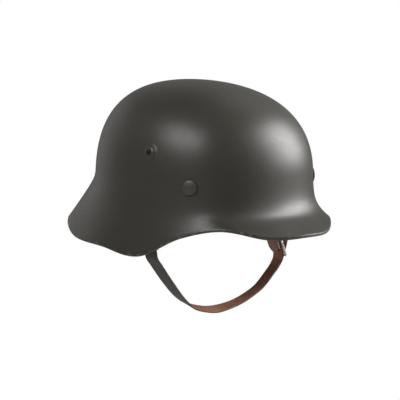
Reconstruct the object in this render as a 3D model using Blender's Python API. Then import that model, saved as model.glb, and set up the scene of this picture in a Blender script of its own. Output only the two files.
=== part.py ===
"""A pressed steel field helmet, held up by the inside of its crown, with a buckled leather chin strap.

The origin is the inside of the crown's top. +X runs to the visor, +Y to the wearer's left and +Z up.
The shell is worked out as a turned blank, each of whose points is then pressed onto the real form.
"""

import math
from functools import lru_cache

import bmesh
import bpy
from mathutils import Matrix, Vector

# Shell, in metres
SHELL_LENGTH = 0.295
SHELL_WIDTH = 0.220
SHELL_HEIGHT = 0.158
WALL = 0.0012
HEM_THICKNESS = 0.0034
HEM_ROUNDING = 0.0008
CROWN_RADIUS_LENGTHWISE = 0.255
CROWN_RADIUS_ACROSS = 0.165

# Ventilation holes
VENT_ANGLE = 79.0
VENT_DROP = 0.062
VENT_HOLE_DIAMETER = 0.0055
VENT_BOSS_DIAMETER = 0.015
VENT_BOSS_TOP_DIAMETER = 0.0076
VENT_BOSS_HEIGHT = 0.0026
VENT_BOSS_ROOT = 0.0009

# Liner rivets
SIDE_RIVET_ANGLE = 54.0
RIVET_DROP = 0.0928
RIVET_HEAD_DIAMETER = 0.0145
RIVET_HEAD_HEIGHT = 0.0026
RIVET_HEAD_EDGE = 0.0007
RIVET_SHANK_DIAMETER = 0.005
RIVET_TAIL_DIAMETER = 0.010
RIVET_TAIL_THICKNESS = 0.001

# Steel band inside the shell, with a leaning loop for each end of the strap
BAND_THICKNESS = 0.001
BAND_HEIGHT = 0.019
BAND_GAP = 0.0006
LOOP_FORWARD = 0.0405
LOOP_LENGTH = 0.043
LOOP_LEAN = 6.0
LOOP_WIDTH = 0.023
LOOP_THICKNESS = 0.0012
LOOP_SET_IN = 0.0002
LOOP_BAR_HEIGHT = 0.002
LOOP_SLOT_HEIGHT = 0.007
LOOP_CORNER = 0.003

# Leather strap
STRAP_WIDTH = 0.0148
LEATHER = 0.0018
STRAP_DROP = 0.0873
STRAP_HOLE_DIAMETER = 0.003
STRAP_HOLE_PITCH = 0.011
STRAP_TIP_LENGTH = 0.008

# Buckle
BUCKLE_INSET = 0.0088
BUCKLE_HANG = 0.0346
BUCKLE_TILT = 21.0
BUCKLE_LENGTH = 0.0206
BUCKLE_WIRE = 0.0022
BUCKLE_SIDE_ROOM = 0.0009
BUCKLE_CORNER = 0.0022
BACKING_OVERLAP = 0.009
BACKING_LENGTH = 0.0135
PRONG_WIDTH = 0.002
PRONG_THICKNESS = 0.0012
PRONG_TIP_SHARE = 0.6
PRONG_CURL = range(-150, 91, 24)
BUCKLE_PASS_SLANT = 24.0

# Space that touching pieces keep
CLEARANCE = 0.0003
CUTTER_LENGTH = 0.02

# Plan outlines. Reaches are shares of half the length, widths of half the width.
# "widest" is where the oval is widest, ahead of the crown's axis. A fullness squares a corner out,
# and a pinch draws it in at the temple.
OVALS = {
    "break": dict(front=0.819, rear=0.706, widest=0.162, half_width=0.891,
                  front_fullness=0.10, front_pinch=0.0, rear_fullness=0.0),
    "rim": dict(front=1.068, rear=0.932, widest=0.102, half_width=1.0,
                front_fullness=-0.03, front_pinch=0.34, rear_fullness=0.15),
}

# Side shape of the steel. "break_drop" is a share of the height, where dome turns into skirt.
# "shoulder" says how far up the wall stays steep and "batter" its lean there. The skirt turns out towards
# the rim at "turn_drop", a share of the height, and "sharpness" says how tight that bend is.
PROFILES = {
    "front": dict(break_drop=0.557, shoulder=0.87, batter=0.0, turn_drop=0.800, sharpness=0.92),
    "side": dict(break_drop=0.557, shoulder=0.83, batter=0.02, turn_drop=0.730, sharpness=0.90),
    "rear": dict(break_drop=0.557, shoulder=0.65, batter=0.07, turn_drop=0.570, sharpness=0.80),
}

# How far the rim lies below the crown, as shares of the height, by the angle from the visor.
RIM_ROWS = (
    dict(angle=0, drop=0.863),
    dict(angle=22, drop=0.864),
    dict(angle=44, drop=0.819),
    dict(angle=62, drop=0.873),
    dict(angle=80, drop=1.000),
    dict(angle=100, drop=0.975),
    dict(angle=125, drop=0.963),
    dict(angle=150, drop=0.884),
    dict(angle=180, drop=0.880),
)

# The strap's way under the chin, from the right loop to the buckle.
# "across" is a share of the distance from the middle to a loop, positive to the left.
# "hang" is a share of the strap's drop, and "tip" is how far the front edge leans down, in degrees.
STRAP_ROWS = (
    dict(across=-0.98, hang=0.320, tip=0),
    dict(across=-0.91, hang=0.415, tip=0),
    dict(across=-0.76, hang=0.607, tip=2),
    dict(across=-0.58, hang=0.806, tip=10),
    dict(across=-0.43, hang=0.915, tip=20),
    dict(across=-0.25, hang=0.975, tip=18),
    dict(across=-0.08, hang=1.000, tip=16),
    dict(across=0.11, hang=0.987, tip=8),
    dict(across=0.28, hang=0.955, tip=3),
    dict(across=0.46, hang=0.893, tip=-1),
    dict(across=0.61, hang=0.818, tip=-4),
    dict(across=0.75, hang=0.700, tip=-4),
    dict(across=0.84, hang=0.615, tip=-3),
    dict(across=0.90, hang=0.530, tip=0),
)

# The strap's doubled end below the right loop: its middle line, as shares of the strap's drop.
FOLD_ROWS = (
    dict(outward=0.000, down=0.10),
    dict(outward=-0.013, down=0.19),
)
FOLD_END_DOWN = 0.225

# The free end above the buckle, as shares of the buckle's hang, from the left loop's bar.
TAIL_ROWS = (
    dict(outward=-0.140, down=1.06),
    dict(outward=-0.080, down=0.87),
    dict(outward=-0.045, down=0.66),
    dict(outward=-0.025, down=0.47),
)

# Facets
TURN_STEPS = 72
BAND_STEPS = 48
BAND_ROWS = 6
DOME_ROWS = 12
SKIRT_ROWS = 8
BREAK_SHARE = 0.62
HEM_SHARE = 0.030
HEM_STEP_SHARE = 0.010
ROUND_STEPS = 24
HOLE_STEPS = 16
WIRE_STEPS = 10
FOLD_STEPS = 8
CORNER_STEPS = 4
CAP_STEPS = 5
SEAT_SAMPLES = 10
SEAT_MARGIN = 1.2
STRAP_STEP = 0.0045

HALF_LENGTH = SHELL_LENGTH / 2
HALF_WIDTH = SHELL_WIDTH / 2
LAYER_PITCH = LEATHER + 2 * CLEARANCE
FINE_STEP = 1e-4
SIDES = {"right": -1, "left": 1}

COLOURS = {
    "painted_steel": dict(colour=(0.055, 0.055, 0.048, 1), roughness=0.42, metallic=0.0),
    "bare_steel": dict(colour=(0.45, 0.43, 0.40, 1), roughness=0.38, metallic=1.0),
    "leather": dict(colour=(0.075, 0.042, 0.028, 1), roughness=0.60, metallic=0.0),
}


# Form of the shell


def oval(name, angle):
    """A point of one plan outline. The angle runs from the visor to the wearer's left."""
    row = OVALS[name]
    c, s = math.cos(angle), math.sin(angle)
    front, rear, widest = (row[k] * HALF_LENGTH for k in ("front", "rear", "widest"))
    x = widest + (front + rear) / 2 * c + ((front - rear) / 2 - widest) * c * c
    front_fullness = row["front_fullness"] - row["front_pinch"] * s * s
    fullness = front_fullness * (1 + c) / 2 + row["rear_fullness"] * (1 - c) / 2
    return Vector((x, row["half_width"] * HALF_WIDTH * s * (1 + fullness * c * c), 0))


def profile(column, angle):
    """One column of the side shapes, eased from front over side to rear."""
    c, s = math.cos(angle), math.sin(angle)
    along = PROFILES["front"][column] * (1 + c) / 2 + PROFILES["rear"][column] * (1 - c) / 2
    return along * c * c + PROFILES["side"][column] * s * s


def rim_drop(angle):
    """The rim's depth below the crown, on a smooth curve through the rows."""
    degrees = abs(math.degrees(math.atan2(math.sin(angle), math.cos(angle))))
    rows = [(row["angle"], row["drop"]) for row in RIM_ROWS]
    rows = [(-rows[1][0], rows[1][1])] + rows + [(360 - rows[-2][0], rows[-2][1])]
    i = 1
    while i < len(rows) - 3 and rows[i + 1][0] < degrees:
        i += 1
    (x0, y0), (x1, y1), (x2, y2), (x3, y3) = rows[i - 1:i + 3]
    t = (degrees - x1) / (x2 - x1)
    slope_1 = (y2 - y0) / (x2 - x0) * (x2 - x1)
    slope_2 = (y3 - y1) / (x3 - x1) * (x2 - x1)
    share = ((2 * t**3 - 3 * t**2 + 1) * y1 + (t**3 - 2 * t**2 + t) * slope_1
             + (3 * t**2 - 2 * t**3) * y2 + (t**3 - t**2) * slope_2)
    return share * SHELL_HEIGHT


@lru_cache(maxsize=None)
def meridian(angle):
    """The two curves, of four points each, that the steel follows from the crown to the rim."""
    at_break, at_rim = oval("break", angle), oval("rim", angle)
    outward = at_break.normalized()
    reach = at_break.length
    drop = profile("break_drop", angle) * SHELL_HEIGHT
    shoulder, batter = profile("shoulder", angle), profile("batter", angle)
    curvature = outward.x**2 / CROWN_RADIUS_LENGTHWISE + outward.y**2 / CROWN_RADIUS_ACROSS
    crown_reach = min(math.sqrt(2 / 3 * drop * (1 - shoulder) / curvature), 0.98 * reach)
    crown = Vector((0, 0, WALL))
    down = Vector((0, 0, -1))
    break_point = crown + at_break + down * drop
    dome = (
        crown,
        crown + outward * crown_reach,
        crown + outward * (reach - batter * shoulder * drop) + down * drop * (1 - shoulder),
        break_point,
    )
    rim_point = crown + at_rim + down * rim_drop(angle)
    turn_depth = (profile("turn_drop", angle) - profile("break_drop", angle)) * SHELL_HEIGHT
    turn_point = break_point + (outward * batter + down) * turn_depth
    sharpness = profile("sharpness", angle)
    skirt = (
        break_point,
        break_point.lerp(turn_point, sharpness),
        rim_point.lerp(turn_point, sharpness),
        rim_point,
    )
    return dome, skirt


def bezier(points, t):
    a, b, c, d = points
    return a * (1 - t)**3 + b * 3 * (1 - t)**2 * t + c * 3 * (1 - t) * t**2 + d * t**3


def surface(angle, share):
    """A point of the outer face: share 0 is the crown, BREAK_SHARE the break and 1 the rim."""
    dome, skirt = meridian(angle)
    if share <= BREAK_SHARE:
        return bezier(dome, share / BREAK_SHARE)
    return bezier(skirt, (share - BREAK_SHARE) / (1 - BREAK_SHARE))


def surface_axes(angle, share):
    """The outer face's directions at a point: along the rim, down the steel and outward."""
    low, high = max(share - FINE_STEP, 0), min(share + FINE_STEP, 1)
    down = (surface(angle, high) - surface(angle, low)).normalized()
    share = max(share, FINE_STEP)
    along = (surface(angle + FINE_STEP, share) - surface(angle - FINE_STEP, share)).normalized()
    outward = down.cross(along).normalized()
    return down.cross(outward), down, outward


def inside(angle, share, depth):
    """A point at a depth below the outer face. A share over 1 runs on past the rim, in metres."""
    beyond = max(share - 1, 0)
    share = min(share, 1)
    if share < FINE_STEP:
        return surface(angle, 0) + Vector((0, 0, -depth))
    along, down, outward = surface_axes(angle, share)
    return surface(angle, share) + down * beyond - outward * depth


def share_at(angle, drop):
    """The share at which the steel is a given drop below the crown."""
    low, high = 0.0, 1.0
    for _ in range(40):
        middle = (low + high) / 2
        if surface(angle, middle).z > WALL - drop:
            low = middle
        else:
            high = middle
    return low


# Making objects


def material(name):
    found = bpy.data.materials.get(name)
    if found:
        return found
    values = COLOURS[name]
    made = bpy.data.materials.new(name)
    made.use_nodes = True
    shader = made.node_tree.nodes["Principled BSDF"]
    shader.inputs["Base Color"].default_value = values["colour"]
    shader.inputs["Roughness"].default_value = values["roughness"]
    shader.inputs["Metallic"].default_value = values["metallic"]
    return made


def add_object(name, mesh, finish=None, place=None):
    """Closes a bmesh into an object. With no finish it is a guide that only shapes another piece."""
    bmesh.ops.remove_doubles(mesh, verts=mesh.verts, dist=1e-6)
    if place:
        bmesh.ops.transform(mesh, matrix=place, verts=mesh.verts)
    bmesh.ops.recalc_face_normals(mesh, faces=mesh.faces)
    data = bpy.data.meshes.new(name)
    mesh.to_mesh(data)
    mesh.free()
    data.shade_smooth()
    data.set_sharp_from_angle(angle=math.radians(40))
    made = bpy.data.objects.new(name, data)
    bpy.context.scene.collection.objects.link(made)
    if finish:
        data.materials.append(material(finish))
    else:
        made.hide_render = True
        made.display_type = "WIRE"
    return made


def combine(piece, operation, *tools):
    for tool in tools:
        modifier = piece.modifiers.new(f"{operation}_{tool.name}".lower(), "BOOLEAN")
        modifier.operation = operation
        modifier.solver = "EXACT"
        modifier.object = tool


def turned(section, steps, closed):
    """A section in X and Z, turned about Z."""
    mesh = bmesh.new()
    verts = [mesh.verts.new((x, 0, z)) for x, z in section]
    pairs = list(zip(verts, verts[1:] + verts[:1] if closed else verts[1:]))
    edges = [mesh.edges.new(pair) for pair in pairs]
    bmesh.ops.spin(mesh, geom=verts + edges, cent=(0, 0, 0), axis=(0, 0, 1),
                   angle=math.tau, steps=steps, use_merge=True)
    bmesh.ops.remove_doubles(mesh, verts=mesh.verts, dist=1e-6)
    return mesh


def pressed(mesh, rule):
    """Moves each point of a turned blank: its radius is a share, its height minus a depth."""
    for vert in mesh.verts:
        share = math.hypot(vert.co.x, vert.co.y)
        angle = math.atan2(vert.co.y, vert.co.x) if share > 1e-9 else 0.0
        vert.co = rule(angle, share, -vert.co.z)
    return mesh


def swept(sections, closed=False):
    """A skin over a row of like sections, with its ends filled unless it closes on itself."""
    mesh = bmesh.new()
    loops = [[mesh.verts.new(point) for point in section] for section in sections]
    count = len(loops[0])
    for here, there in zip(loops, loops[1:] + loops[:1] if closed else loops[1:]):
        for i in range(count):
            j = (i + 1) % count
            mesh.faces.new((here[i], here[j], there[j], there[i]))
    if not closed:
        mesh.faces.new(loops[0])
        mesh.faces.new(reversed(loops[-1]))
    return mesh


def box(width, depth, height):
    mesh = bmesh.new()
    bmesh.ops.create_cube(mesh, size=1, matrix=Matrix.Diagonal((width, depth, height, 1)))
    return mesh


def plug(radius, length, steps):
    mesh = bmesh.new()
    bmesh.ops.create_cone(mesh, cap_ends=True, segments=steps, radius1=radius, radius2=radius,
                          depth=length)
    return mesh


def axes_matrix(origin, x_axis, y_axis, z_axis):
    return Matrix.Translation(origin) @ Matrix((x_axis, y_axis, z_axis)).transposed().to_4x4()


def face_matrix(angle, share):
    """A frame on the outer face, with Z outward."""
    along, down, outward = surface_axes(angle, share)
    return axes_matrix(surface(angle, share), along, outward.cross(along), outward)


def smooth_line(points, step):
    """Points about a step apart on a smooth curve through the given ones, with t along each span."""
    line = []
    ends = [points[0] * 2 - points[1]] + list(points) + [points[-1] * 2 - points[-2]]
    for i in range(len(points) - 1):
        p0, p1, p2, p3 = ends[i:i + 4]
        spans = [max((b - a).length, 1e-6) ** 0.5 for a, b in ((p0, p1), (p1, p2), (p2, p3))]
        slope_1 = ((p1 - p0) / spans[0] - (p2 - p0) / (spans[0] + spans[1]) + (p2 - p1) / spans[1]) * spans[1]
        slope_2 = ((p2 - p1) / spans[1] - (p3 - p1) / (spans[1] + spans[2]) + (p3 - p2) / spans[2]) * spans[1]
        count = max(1, round((p2 - p1).length / step))
        for n in range(count):
            t = n / count
            point = (p1 * (2 * t**3 - 3 * t**2 + 1) + slope_1 * (t**3 - 2 * t**2 + t)
                     + p2 * (3 * t**2 - 2 * t**3) + slope_2 * (t**3 - t**2))
            line.append((i + t, point))
    line.append((len(points) - 1, points[-1]))
    return line


def ribbon(points, across, tip_length):
    """A leather strip with a rounded tip. across(i) gives the wanted direction of its width."""
    sections = []
    for i, point in enumerate(points):
        ahead = (points[min(i + 1, len(points) - 1)] - points[max(i - 1, 0)]).normalized()
        wide = across(i)
        wide = (wide - ahead * wide.dot(ahead)).normalized()
        thick = ahead.cross(wide) * LEATHER / 2
        left = (points[-1] - point).length
        half = STRAP_WIDTH / 2
        if left < tip_length:
            half *= math.sqrt(max(1 - (1 - left / tip_length)**2, 0.04))
        wide = wide * half
        sections.append([point + wide + thick, point - wide + thick,
                         point - wide - thick, point + wide - thick])
    return swept(sections)


# Shell and what is riveted to it


def shell_section():
    """The blank's section, from the crown down the outside, round the hem and up the inside."""
    dome = [BREAK_SHARE * (i / DOME_ROWS) for i in range(DOME_ROWS + 1)]
    skirt = [BREAK_SHARE + (1 - BREAK_SHARE) * (i + 1) / SKIRT_ROWS for i in range(SKIRT_ROWS)]
    lip_share = 1 - HEM_SHARE
    foot_share = lip_share - HEM_STEP_SHARE
    outer = [(share, 0) for share in dome + skirt]
    hem = [
        (1 + HEM_ROUNDING, -HEM_THICKNESS * 0.25),
        (1 + HEM_ROUNDING, -HEM_THICKNESS * 0.75),
        (1, -HEM_THICKNESS),
        (lip_share, -HEM_THICKNESS),
        (foot_share, -WALL),
    ]
    inner = [(share, -WALL) for share in dome + skirt if share < foot_share - HEM_STEP_SHARE]
    return outer + hem + inner[::-1]


def vent_boss(side):
    section = [
        (0, -VENT_BOSS_ROOT),
        (VENT_BOSS_DIAMETER / 2, -VENT_BOSS_ROOT),
        (VENT_BOSS_TOP_DIAMETER / 2, VENT_BOSS_HEIGHT),
        (0, VENT_BOSS_HEIGHT),
    ]
    angle = math.radians(VENT_ANGLE) * SIDES[side]
    place = face_matrix(angle, share_at(angle, VENT_DROP))
    return add_object(f"vent_boss_{side}", turned(section, ROUND_STEPS, False), place=place)


def vent_cutter(side):
    angle = math.radians(VENT_ANGLE) * SIDES[side]
    place = face_matrix(angle, share_at(angle, VENT_DROP))
    hole = plug(VENT_HOLE_DIAMETER / 2, CUTTER_LENGTH, HOLE_STEPS)
    return add_object(f"vent_cutter_{side}", hole, place=place)


def rivet_angle(spot):
    return math.pi if spot == "rear" else math.radians(SIDE_RIVET_ANGLE) * SIDES[spot]


def heights_near(angle, drop, radius, depth):
    """How far a face at some depth rises and falls, along the outward axis, within a radius."""
    share = share_at(angle, drop)
    to_local = face_matrix(angle, share).inverted()
    turn_reach = SEAT_MARGIN * radius / surface(angle, share).to_2d().length
    drop_reach = SEAT_MARGIN * radius
    steps = [i / SEAT_SAMPLES for i in range(-SEAT_SAMPLES, SEAT_SAMPLES + 1)]
    heights = []
    for turn in (angle + turn_reach * i for i in steps):
        for level in (drop + drop_reach * j for j in steps):
            point = to_local @ inside(turn, share_at(turn, level), depth)
            if point.to_2d().length <= radius:
                heights.append(point.z)
    return min(heights), max(heights)


def rivet(spot):
    """A domed head outside, a shank through shell and band, and a clenched tail inside."""
    angle = rivet_angle(spot)
    share = share_at(angle, RIVET_DROP)
    head, shank, tail = RIVET_HEAD_DIAMETER / 2, RIVET_SHANK_DIAMETER / 2, RIVET_TAIL_DIAMETER / 2
    seat = heights_near(angle, RIVET_DROP, head, 0)[1] + CLEARANCE
    back = heights_near(angle, RIVET_DROP, tail, WALL + BAND_GAP + BAND_THICKNESS)[0] - CLEARANCE
    dome = RIVET_HEAD_HEIGHT - RIVET_HEAD_EDGE
    section = [(0, back - RIVET_TAIL_THICKNESS), (tail, back - RIVET_TAIL_THICKNESS), (tail, back),
               (shank, back), (shank, seat), (head, seat), (head, seat + RIVET_HEAD_EDGE)]
    for i in range(1, CAP_STEPS):
        turn = math.radians(90 * i / CAP_STEPS)
        section.append((head * math.cos(turn), seat + RIVET_HEAD_EDGE + dome * math.sin(turn)))
    section.append((0, seat + RIVET_HEAD_HEIGHT))
    return add_object(f"rivet_{spot}", turned(section, ROUND_STEPS, False), "painted_steel",
                      face_matrix(angle, share))


def rivet_cutter(spot):
    angle = rivet_angle(spot)
    radius = RIVET_SHANK_DIAMETER / 2 + CLEARANCE
    return add_object(f"rivet_cutter_{spot}", plug(radius, CUTTER_LENGTH, HOLE_STEPS),
                      place=face_matrix(angle, share_at(angle, RIVET_DROP)))


def shell():
    mesh = pressed(turned(shell_section(), TURN_STEPS, False), inside)
    piece = add_object("shell", mesh, "painted_steel")
    combine(piece, "UNION", *[vent_boss(side) for side in SIDES])
    combine(piece, "DIFFERENCE", *[vent_cutter(side) for side in SIDES])
    return piece


def loop_angle():
    """Where the band passes LOOP_FORWARD ahead of the crown's axis, on the left."""
    low, high = math.radians(20), math.radians(160)
    for _ in range(40):
        middle = (low + high) / 2
        if surface(middle, share_at(middle, RIVET_DROP)).x > LOOP_FORWARD:
            low = middle
        else:
            high = middle
    return low


def side_frame(side):
    """An upright frame at the middle of a strap loop's bar: X forward along it, Y outward, Z up."""
    angle = loop_angle() * SIDES[side]
    share = share_at(angle, RIVET_DROP)
    outward = surface_axes(angle, share)[2]
    outward = Vector((outward.x, outward.y, 0)).normalized()
    forward = Vector((abs(outward.y), -SIDES[side] * outward.x, 0))
    top = surface(angle, share) - outward * (WALL + BAND_GAP + LOOP_SET_IN + LOOP_THICKNESS / 2)
    lean = math.radians(LOOP_LEAN)
    reach = LOOP_LENGTH - LOOP_BAR_HEIGHT / 2
    bar = top - outward * reach * math.sin(lean) - Vector((0, 0, reach * math.cos(lean)))
    return axes_matrix(bar, forward, outward, Vector((0, 0, 1)))


def loop_frame(side):
    """The same frame, leaning with the loop's plate."""
    return side_frame(side) @ Matrix.Rotation(-math.radians(LOOP_LEAN), 4, "X")


def strap_loop(side):
    """A flat steel loop that hangs from the band, with a slot for the leather."""
    mesh = box(LOOP_WIDTH, LOOP_THICKNESS, LOOP_LENGTH)
    lower_corners = [e for e in mesh.edges if abs(e.verts[0].co.y - e.verts[1].co.y) > LOOP_THICKNESS / 2
                     and e.verts[0].co.z < 0]
    bmesh.ops.bevel(mesh, geom=lower_corners, offset=LOOP_CORNER, segments=3, profile=0.5,
                    affect="EDGES", material=-1)
    bmesh.ops.translate(mesh, verts=mesh.verts, vec=(0, 0, (LOOP_LENGTH - LOOP_BAR_HEIGHT) / 2))
    return add_object(f"strap_loop_{side}", mesh, place=loop_frame(side))


def slot_cutter(side):
    mesh = box(STRAP_WIDTH + 4 * CLEARANCE, 4 * LOOP_THICKNESS, LOOP_SLOT_HEIGHT)
    bmesh.ops.translate(mesh, verts=mesh.verts, vec=(0, 0, (LOOP_BAR_HEIGHT + LOOP_SLOT_HEIGHT) / 2))
    return add_object(f"slot_cutter_{side}", mesh, place=loop_frame(side))


def strap_band():
    """A band that follows the inside of the shell, level all round, with the two strap loops."""
    def rule(angle, share, depth):
        return inside(angle, share_at(angle, share), depth)

    top, bottom = RIVET_DROP - BAND_HEIGHT / 2, RIVET_DROP + BAND_HEIGHT / 2
    near = WALL + BAND_GAP
    far = near + BAND_THICKNESS
    rows = [top + (bottom - top) * i / BAND_ROWS for i in range(BAND_ROWS + 1)]
    section = [(drop, -near) for drop in rows] + [(drop, -far) for drop in rows[::-1]]
    piece = add_object("strap_band", pressed(turned(section, BAND_STEPS, True), rule), "bare_steel")
    combine(piece, "UNION", *[strap_loop(side) for side in SIDES])
    combine(piece, "DIFFERENCE", *[slot_cutter(side) for side in SIDES])
    return piece


# Strap and buckle


def fold_radius(bar_half):
    return bar_half + CLEARANCE + LEATHER / 2


def loop_fold_radius():
    return fold_radius(math.hypot(LOOP_THICKNESS, LOOP_BAR_HEIGHT) / 2)


def buckle_frame():
    """A frame at the buckle's middle: X along its bars, Y outward, Z up it."""
    place = Matrix.Translation((0, -BUCKLE_INSET, -BUCKLE_HANG))
    return side_frame("left") @ place @ Matrix.Rotation(math.radians(BUCKLE_TILT), 4, "X")


def bar_reach():
    """From the buckle's middle to either end bar's middle line."""
    return (BUCKLE_LENGTH - BUCKLE_WIRE) / 2


def arc(centre, radius, start, end):
    """Points in Y and Z round a bar, between two angles in radians from outward to up."""
    angles = [start + (end - start) * i / FOLD_STEPS for i in range(FOLD_STEPS + 1)]
    return [centre + Vector((0, math.cos(a), math.sin(a))) * radius for a in angles]


def strap_line():
    """The chin strap's middle line and its width directions, from the fold on the right to the tip."""
    right, left, buckle = side_frame("right"), side_frame("left"), buckle_frame()
    right_bar, left_bar = right.to_3x3() @ Vector((1, 0, 0)), left.to_3x3() @ Vector((1, 0, 0))
    fold = [Vector((0, row["outward"], -row["down"])) * STRAP_DROP for row in FOLD_ROWS]
    run_on = (FOLD_END_DOWN - FOLD_ROWS[-1]["down"]) / (FOLD_ROWS[-1]["down"] - FOLD_ROWS[-2]["down"])
    end = fold[-1] + (fold[-1] - fold[-2]) * run_on
    half_pitch = Vector((0, LAYER_PITCH / 2, 0))
    inner = [point - half_pitch for point in [end] + fold[::-1]]
    outer = [point + half_pitch for point in fold]
    round_bar = arc(Vector((0, 0, 0)), loop_fold_radius(), math.pi, 0)
    points = [right @ p for p in inner + round_bar + outer]
    wide = [right_bar] * len(points)
    for row in STRAP_ROWS:
        share = (row["across"] + 1) / 2
        points.append(Vector((left.translation.x, row["across"] * left.translation.y,
                              left.translation.z - row["hang"] * STRAP_DROP)))
        tip = Vector((0, 0, math.sin(math.radians(row["tip"]))))
        wide.append(right_bar.lerp(left_bar, share).normalized() - tip)
    end_bar = left.inverted() @ buckle @ Vector((0, 0, -bar_reach()))
    room = fold_radius(BUCKLE_WIRE / 2)
    slant = math.radians(BUCKLE_PASS_SLANT)
    points.append(left @ (end_bar + Vector((0, -math.cos(slant), math.sin(slant))) * room))
    points += [left @ (Vector((0, row["outward"], -row["down"])) * BUCKLE_HANG) for row in TAIL_ROWS]
    wide += [left_bar] * (len(points) - len(wide))
    return points, wide


def chin_strap():
    points, wide = strap_line()
    line = smooth_line(points, STRAP_STEP)

    def across(i):
        at = line[i][0]
        low = min(int(at), len(wide) - 2)
        return wide[low].lerp(wide[low + 1], at - low)

    samples = [point for _, point in line]
    mesh = ribbon(samples, across, STRAP_TIP_LENGTH)
    piece = add_object("chin_strap", mesh, "leather")
    combine(piece, "DIFFERENCE", prong_cutter(), *tail_hole_cutters(samples))
    return piece


def tail_hole_cutters(samples):
    """Spare holes in the free end, above the one that the prong uses."""
    used = buckle_frame() @ Vector((0, prong_height(), -bar_reach() / 2))
    start = min(range(len(samples)), key=lambda i: (samples[i] - used).length)
    wide = side_frame("left").to_3x3() @ Vector((1, 0, 0))
    cutters = []
    gone, wanted = 0.0, STRAP_HOLE_PITCH
    for here, there in zip(samples[start:], samples[start + 1:]):
        step = (there - here).length
        if gone + step > wanted and (samples[-1] - here).length > STRAP_TIP_LENGTH:
            ahead = (there - here).normalized()
            place = axes_matrix(here + ahead * (wanted - gone), wide, ahead, wide.cross(ahead))
            hole = plug(STRAP_HOLE_DIAMETER / 2, 4 * LEATHER, HOLE_STEPS)
            cutters.append(add_object(f"hole_cutter_{len(cutters)}", hole, place=place))
            wanted += STRAP_HOLE_PITCH
        gone += step
    return cutters


def buckle_strap():
    """A short strip: doubled round the buckle's upper bar, over the left loop, then down behind the buckle."""
    left, buckle = side_frame("left"), buckle_frame()
    upper_bar = left.inverted() @ buckle @ Vector((0, 0, bar_reach()))
    pull = upper_bar.normalized()
    outward = Vector((0, -pull.z, pull.y))
    turn = math.atan2(outward.z, outward.y)
    span = upper_bar.length
    overlap = span - BACKING_OVERLAP
    near = fold_radius(BUCKLE_WIRE / 2)
    far = near + LAYER_PITCH

    def at(along, out):
        return pull * along + outward * out

    doubled_end = [at(overlap, 0), at((overlap + span) / 2, -near / 2)]
    round_buckle = arc(upper_bar, near, turn + math.pi, turn + 2 * math.pi)
    outer = [at(overlap, LAYER_PITCH), at(overlap / 2, LAYER_PITCH / 2)]
    round_loop = arc(Vector((0, 0, 0)), loop_fold_radius(), turn, turn + math.pi)
    inner = [at(overlap / 2, -LAYER_PITCH / 2), at(overlap, -LAYER_PITCH)]
    bend = arc(upper_bar, far, turn + math.pi, math.pi + math.radians(BUCKLE_TILT))[::2]
    behind = [Vector((0, -far, bar_reach() - BACKING_LENGTH * share)) for share in (0.5, 1.0)]
    points = [left @ p for p in doubled_end + round_buckle + outer + round_loop + inner + bend]
    points += [buckle @ p for p in behind]
    samples = [point for _, point in smooth_line(points, STRAP_STEP)]
    wide = left.to_3x3() @ Vector((1, 0, 0))
    piece = add_object("buckle_strap", ribbon(samples, lambda i: wide, STRAP_TIP_LENGTH), "leather")
    room = 2 * (near + LEATHER / 2) + CLEARANCE
    slot = box(PRONG_WIDTH + 2 * CLEARANCE, room, room)
    place = buckle @ Matrix.Translation((0, 0, bar_reach()))
    combine(piece, "DIFFERENCE", add_object("prong_slot_cutter", slot, place=place))
    return piece


def prong_height():
    """The prong's middle line outside the buckle's bars."""
    return BUCKLE_WIRE / 2 + CLEARANCE + PRONG_THICKNESS / 2


def prong_cutter():
    """The room that the prong takes in the chin strap."""
    mesh = box(PRONG_WIDTH + 2 * CLEARANCE, PRONG_THICKNESS + 4 * CLEARANCE, bar_reach())
    bmesh.ops.translate(mesh, verts=mesh.verts, vec=(0, prong_height(), -bar_reach() / 2))
    return add_object("prong_cutter", mesh, place=buckle_frame())


def wire_section(centre, ahead, side, radius, steps):
    up = ahead.cross(side)
    turns = [math.tau * i / steps for i in range(steps)]
    return [centre + (side * math.cos(t) + up * math.sin(t)) * radius for t in turns]


def buckle():
    """A rounded wire frame. The short strip folds round its upper bar."""
    half_width = STRAP_WIDTH / 2 + BUCKLE_SIDE_ROOM + BUCKLE_WIRE / 2
    sections = []
    for corner, (side_x, side_z) in enumerate(((1, 1), (-1, 1), (-1, -1), (1, -1))):
        centre = Vector((side_x * (half_width - BUCKLE_CORNER), 0, side_z * (bar_reach() - BUCKLE_CORNER)))
        for i in range(CORNER_STEPS + 1):
            turn = math.radians(90 * (corner + i / CORNER_STEPS))
            spoke = Vector((math.cos(turn), 0, math.sin(turn)))
            ahead = Vector((-spoke.z, 0, spoke.x))
            sections.append(wire_section(centre + spoke * BUCKLE_CORNER, ahead, spoke,
                                         BUCKLE_WIRE / 2, WIRE_STEPS))
    return add_object("buckle", swept(sections, closed=True), "bare_steel", buckle_frame())


def buckle_prong():
    """A flat prong, curled round the upper bar, that passes through the strap to lie on the lower bar."""
    radius = prong_height()
    upper = Vector((0, 0, bar_reach()))
    turns = [math.radians(degrees) for degrees in PRONG_CURL]
    line = [upper + Vector((0, math.sin(a), math.cos(a))) * radius for a in turns]
    line += [Vector((0, radius, 0)), Vector((0, radius, -bar_reach() - BUCKLE_WIRE / 2))]
    sections = []
    for i, point in enumerate(line):
        ahead = (line[min(i + 1, len(line) - 1)] - line[max(i - 1, 0)]).normalized()
        thick = ahead.cross(Vector((1, 0, 0))) * PRONG_THICKNESS / 2
        wide = Vector((PRONG_WIDTH / 2, 0, 0))
        if i == len(line) - 1:
            wide *= PRONG_TIP_SHARE
        sections.append([point + wide + thick, point - wide + thick,
                         point - wide - thick, point + wide - thick])
    return add_object("buckle_prong", swept(sections), "bare_steel", buckle_frame())


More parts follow.
